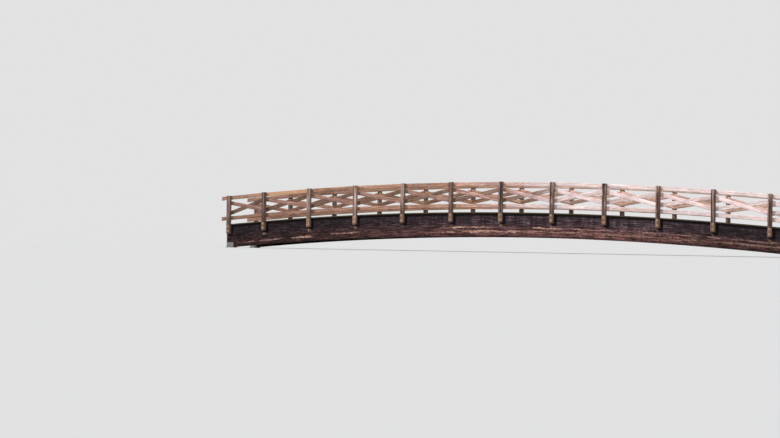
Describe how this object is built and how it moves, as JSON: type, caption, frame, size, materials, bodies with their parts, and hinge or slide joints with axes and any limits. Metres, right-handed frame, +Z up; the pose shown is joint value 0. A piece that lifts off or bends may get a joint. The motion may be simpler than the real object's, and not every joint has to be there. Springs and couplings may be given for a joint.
{
  "type": "wooden footbridge",
  "caption": "Gently arched wooden footbridge: two curved glued-laminated girders, a plank deck, and plumb posts with board rails and crossed braces.",
  "frame": {"origin": "on the ground line, at mid-span on the bridge's centre line", "axes": "+X along the bridge to the right seen from the near side, +Y across it to the far side, +Z up"},
  "size_m": [22.77, 2.295, 2.5062],
  "materials": {
    "glulam": "dark brown weathered, laminations showing",
    "deck_planks": "worn grey-brown planks, mossy edges",
    "post_timber": "weathered, checked",
    "railing_boards": "weathered, dry",
    "beam_timber": "dark brown, sawn",
    "galvanised_steel": "dull galvanised"
  },
  "bodies": {
    "root": {"near_girder": "glulam", "far_girder": "glulam", "deck": "deck_planks", "near_post_00": "post_timber", "near_post_01": "post_timber", "near_post_02": "post_timber", "near_post_03": "post_timber", "near_post_04": "post_timber", "near_post_05": "post_timber", "near_post_06": "post_timber", "near_post_07": "post_timber", "near_post_08": "post_timber", "near_post_09": "post_timber", "near_post_10": "post_timber", "near_post_11": "post_timber", "near_post_12": "post_timber", "far_post_00": "post_timber", "far_post_01": "post_timber", "far_post_02": "post_timber", "far_post_03": "post_timber", "far_post_04": "post_timber", "far_post_05": "post_timber", "far_post_06": "post_timber", "far_post_07": "post_timber", "far_post_08": "post_timber", "far_post_09": "post_timber", "far_post_10": "post_timber", "far_post_11": "post_timber", "far_post_12": "post_timber", "near_top_rail": "railing_boards", "near_bottom_rail": "railing_boards", "far_top_rail": "railing_boards", "far_bottom_rail": "railing_boards", "near_braces": "railing_boards", "far_braces": "railing_boards", "cross_beam_1": "beam_timber", "cross_beam_2": "beam_timber", "cross_beam_3": "beam_timber", "cross_beam_4": "beam_timber", "cross_beam_5": "beam_timber", "near_left_shoe": "galvanised_steel", "near_right_shoe": "galvanised_steel", "far_left_shoe": "galvanised_steel", "far_right_shoe": "galvanised_steel"}
  },
  "joints": []
}
